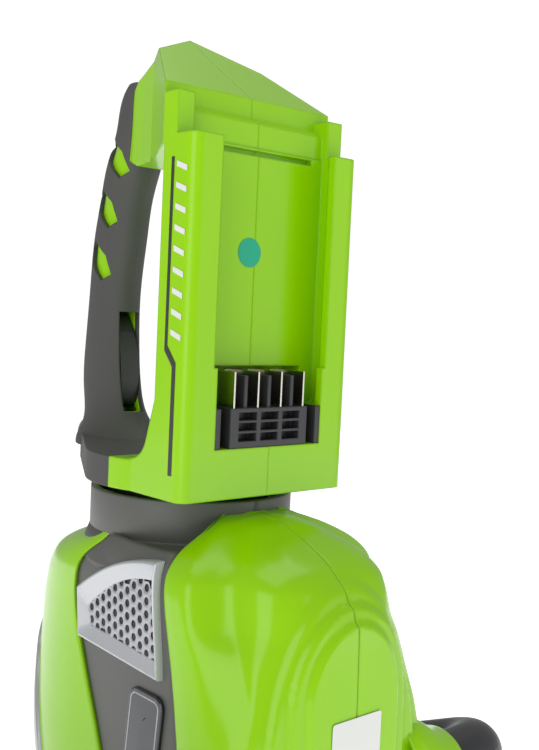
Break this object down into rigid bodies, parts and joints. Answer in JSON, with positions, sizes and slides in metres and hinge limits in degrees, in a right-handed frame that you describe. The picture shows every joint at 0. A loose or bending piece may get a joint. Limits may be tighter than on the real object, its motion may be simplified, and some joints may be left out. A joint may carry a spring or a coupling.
{
  "type": "cordless hedge trimmer",
  "caption": "Cordless hedge trimmer with a swivelling D-handle, an empty slide-on battery bay, a motor housing with a hoop handle, and double-sided toothed blades.",
  "frame": {"origin": "on the swivel axis at the foot of the rear handle, where it meets the fixed collar", "axes": "+Z along the tool towards the rear handle, +Y towards the top of the grip, +X to the right of a person holding it"},
  "size_m": [0.239, 0.2102, 1.0704],
  "materials": {
    "green_shell": "gloss",
    "grey_panel": "fine grain",
    "silver_vent": "satin metallic",
    "dark_badge": "gloss",
    "silver_trim": "satin",
    "board": "matte",
    "motor_steel": "brushed",
    "motor_plastic": "matte",
    "magnet": "dull",
    "bearing_steel": "polished",
    "gear_steel": "oiled",
    "cast_case": "cast",
    "blade_steel": "ground",
    "bar_steel": "brushed",
    "fastener": "zinc",
    "black_plastic": "fine grain",
    "guard_plastic": "satin",
    "spring_steel": "drawn",
    "soft_grip": "soft touch",
    "contact_metal": "plated",
    "hub_plastic": "satin",
    "lock_plastic": "gloss",
    "winding": "enamelled",
    "lead": "insulated"
  },
  "bodies": {
    "housing": {"housing_shell_left": "green_shell", "housing_shell_right": "green_shell", "side_panel_left": "grey_panel", "side_panel_right": "grey_panel", "vent_grille_left": "silver_vent", "vent_grille_right": "silver_vent", "badge_plate_left": "dark_badge", "badge_plate_right": "dark_badge", "crown_trim": "silver_trim", "controller_board": "board", "motor_can": "motor_steel", "motor_cap_lower": "motor_plastic", "motor_cap_upper": "motor_plastic", "motor_magnets": "magnet", "motor_bearings": "bearing_steel", "crank_bearings": "bearing_steel", "gear_case_upper": "cast_case", "gear_case_lower": "cast_case", "blade_support_bar": "bar_steel", "blade_bolts": "fastener", "blade_nuts": "fastener", "tip_guard": "black_plastic", "front_handle_rear_shell": "black_plastic", "front_handle_front_shell": "black_plastic", "front_switch_springs": "spring_steel", "front_micro_switch": "motor_plastic", "hand_guard": "guard_plastic", "guard_screws": "fastener", "housing_screws": "fastener", "motor_leads": "lead"},
    "rear_handle": {"rear_shell_left": "green_shell", "rear_shell_right": "green_shell", "grip_cover_left": "soft_grip", "grip_cover_right": "soft_grip", "terminal_block": "black_plastic", "terminal_blades": "contact_metal", "swivel_hub": "hub_plastic", "swivel_detent_studs": "fastener", "trigger_pin": "fastener", "trigger_switch": "motor_plastic", "swivel_lock_spring": "spring_steel", "handle_circuit_board": "board", "handle_screws": "fastener", "handle_leads": "lead"},
    "trigger": {"trigger": "black_plastic"},
    "lock_button": {"swivel_lock_button": "lock_plastic"},
    "switch_bar": {"front_switch_bar": "black_plastic"},
    "upper_blade": {"upper_blade": "blade_steel"},
    "lower_blade": {"lower_blade": "blade_steel"},
    "rotor": {"rotor_shaft": "motor_steel", "armature_core": "motor_steel", "armature_windings": "winding", "commutator": "motor_plastic", "cooling_fan": "motor_plastic", "pinion": "gear_steel"},
    "crank": {"crank_wheel": "gear_steel", "crank_cams": "gear_steel", "crank_spindle": "gear_steel"}
  },
  "joints": [
    {"name": "handle_swivel", "type": "hinge", "parent": "housing", "child": "rear_handle", "pos_m": [0, 0, 0], "axis": [0, 0, 1], "range_deg": [-90, 90]},
    {"name": "trigger_pull", "type": "hinge", "parent": "rear_handle", "child": "trigger", "pos_m": [0, 0.066, 0.066], "axis": [1, 0, 0], "range_deg": [0, 6], "stiffness_Nm_per_rad": 1.2, "springref_deg": -2.86},
    {"name": "lock_press", "type": "slide", "parent": "rear_handle", "child": "lock_button", "axis": [0, -1, 0], "range_m": [0, 0.0025], "stiffness_N_per_m": 900, "springref_m": -0.001},
    {"name": "switch_squeeze", "type": "slide", "parent": "housing", "child": "switch_bar", "axis": [0, 0.9205, -0.3907], "range_m": [0, 0.005], "stiffness_N_per_m": 900, "springref_m": -0.002},
    {"name": "upper_blade_stroke", "type": "slide", "parent": "housing", "child": "upper_blade", "axis": [0, 0, 1], "range_m": [-0.007, 0.007]},
    {"name": "lower_blade_stroke", "type": "slide", "parent": "housing", "child": "lower_blade", "axis": [0, 0, 1], "range_m": [-0.007, 0.007]},
    {"name": "crank_spin", "type": "hinge", "parent": "housing", "child": "crank", "pos_m": [0, -0.07, -0.14955], "axis": [0, 1, 0], "continuous": true},
    {"name": "rotor_spin", "type": "hinge", "parent": "housing", "child": "rotor", "pos_m": [0, 0, -0.112], "axis": [0, 1, 0], "continuous": true}
  ],
  "couplings": [
    {"joint": "lower_blade_stroke", "follows": "upper_blade_stroke", "ratio": -1},
    {"joint": "rotor_spin", "follows": "crank_spin", "ratio": -4}
  ]
}
